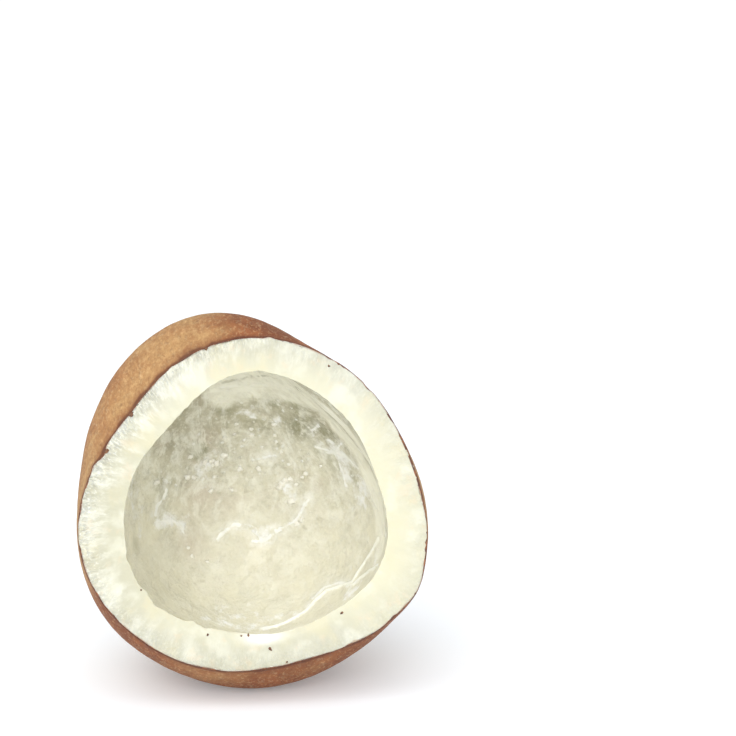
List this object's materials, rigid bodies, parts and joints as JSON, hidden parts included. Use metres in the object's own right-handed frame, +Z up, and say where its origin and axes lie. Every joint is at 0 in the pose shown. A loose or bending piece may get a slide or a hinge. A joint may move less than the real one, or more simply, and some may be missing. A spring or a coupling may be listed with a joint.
{
  "type": "cut coconut kernel",
  "caption": "Dried coconut kernel out of its shell, sliced open at one end into a thick-walled cup, with thin brown skin outside and pale flesh inside.",
  "frame": {"origin": "centre of the small flat spot that the kernel rests on", "axes": "+Z up; -Y out of the sliced opening, which also looks up by 6 degrees; +X to the right as seen from in front of the opening"},
  "size_m": [0.0877, 0.071, 0.0952],
  "materials": {
    "brown_skin": "matt",
    "cut_flesh": "satin",
    "cavity_wall": "satin"
  },
  "bodies": {
    "root": {"coconut_kernel": "brown_skin"}
  },
  "joints": []
}
